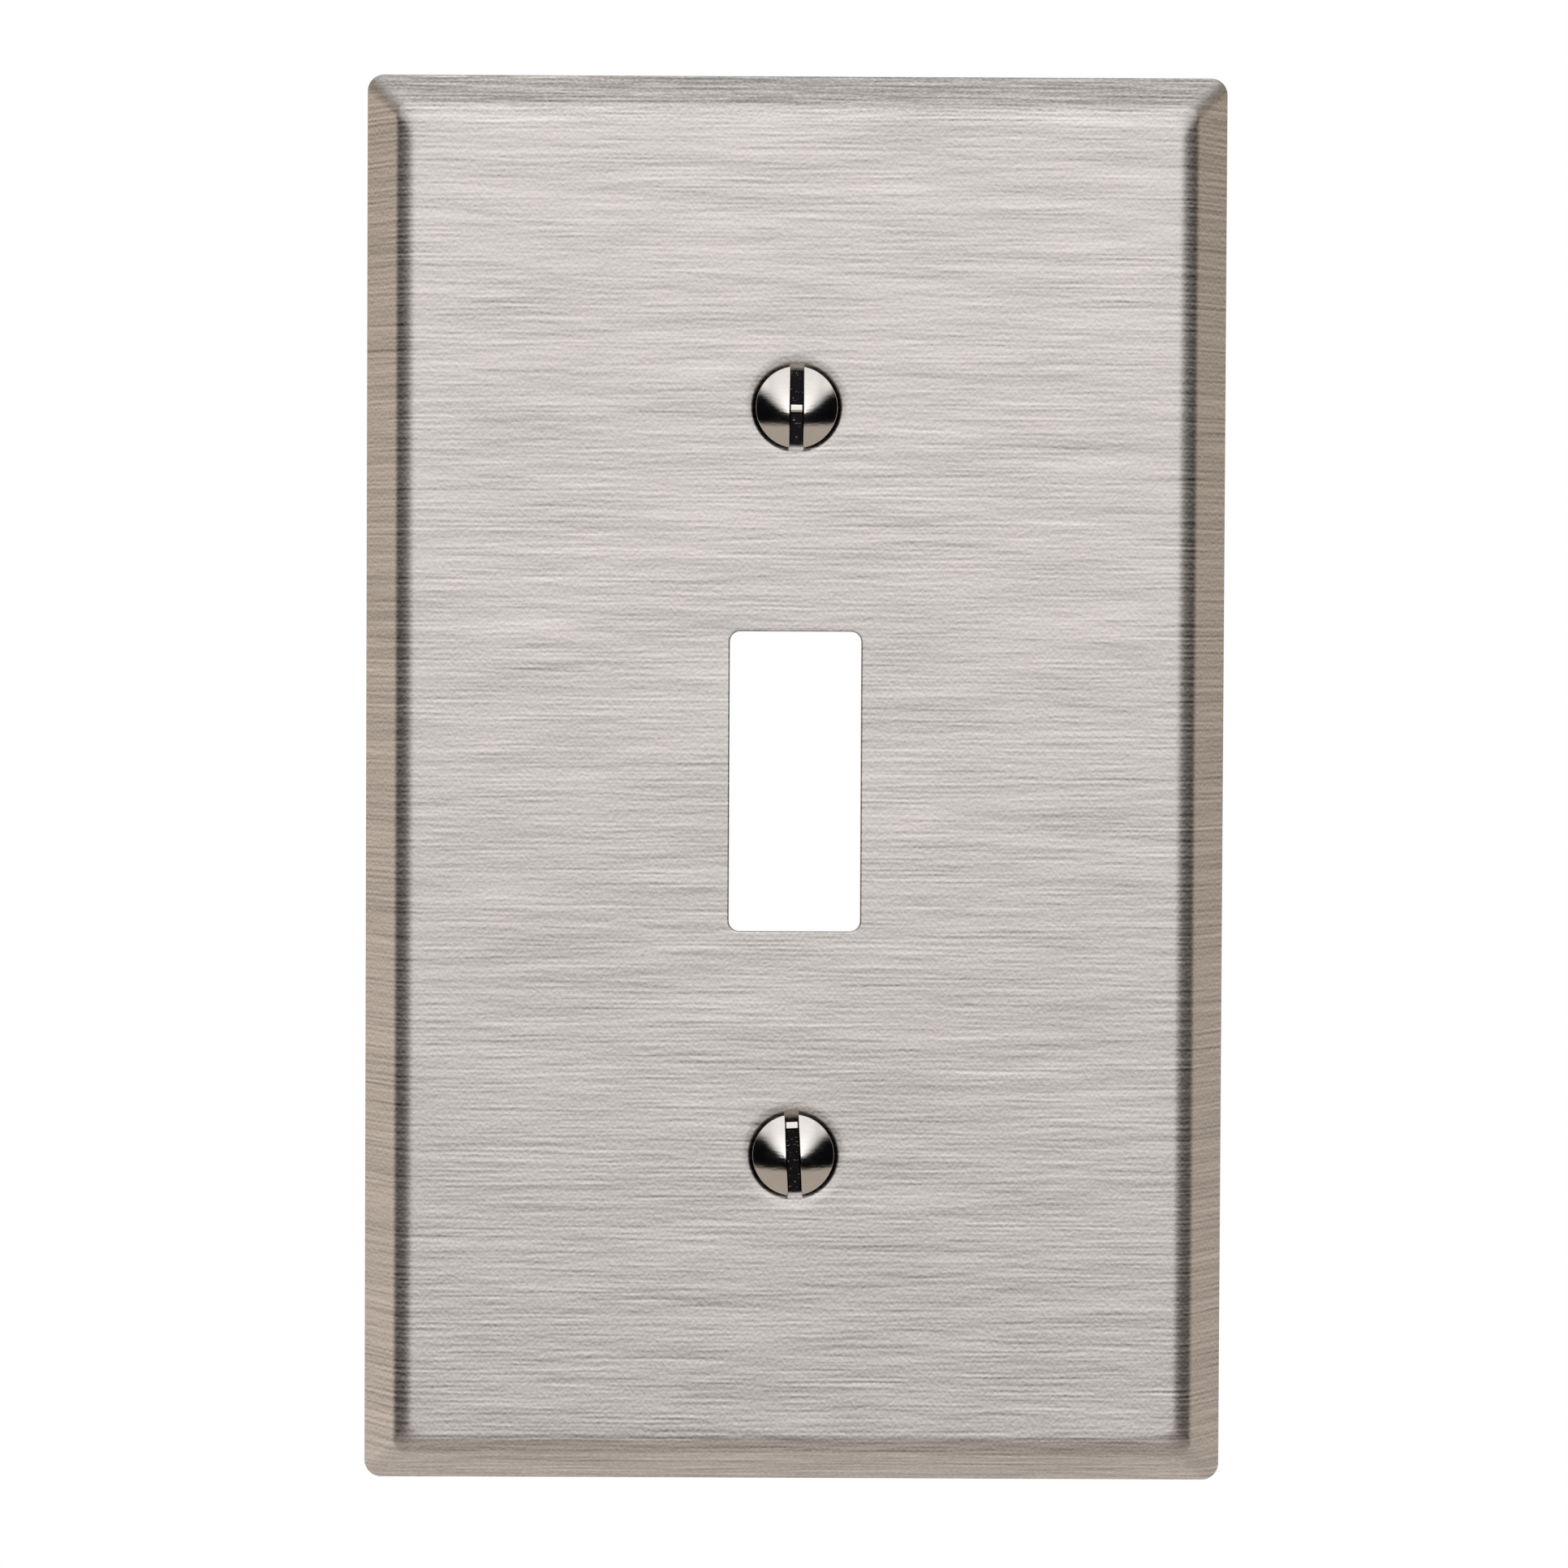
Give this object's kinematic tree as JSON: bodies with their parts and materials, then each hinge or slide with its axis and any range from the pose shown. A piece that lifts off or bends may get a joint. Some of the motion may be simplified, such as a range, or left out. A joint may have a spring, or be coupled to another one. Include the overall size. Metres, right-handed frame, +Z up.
{
  "type": "toggle switch wall plate",
  "caption": "Brushed steel wall plate with a rectangular toggle opening, held by slotted oval-head screws in countersunk dimples.",
  "frame": {"origin": "middle of the plate's outline, on the wall plane that its rim rests on", "axes": "+Z up, +Y into the wall, +X to the right as seen from the front; the plate's face looks along -Y"},
  "size_m": [0.0698, 0.009, 0.1142],
  "materials": {
    "brushed_stainless": "satin, brushed across the width",
    "nickel_plated_steel": "bright nickel plating with fine tumbling marks"
  },
  "bodies": {
    "plate": {"wall_plate": "brushed_stainless"},
    "upper_screw": {"upper_screw": "nickel_plated_steel"},
    "lower_screw": {"lower_screw": "nickel_plated_steel"}
  },
  "joints": [
    {"name": "upper_screw_turn", "type": "hinge", "parent": "plate", "child": "upper_screw", "pos_m": [0, -0.00559, 0.03016], "axis": [0, 1, 0], "continuous": true},
    {"name": "lower_screw_turn", "type": "hinge", "parent": "plate", "child": "lower_screw", "pos_m": [0, -0.00559, -0.03016], "axis": [0, 1, 0], "continuous": true}
  ]
}
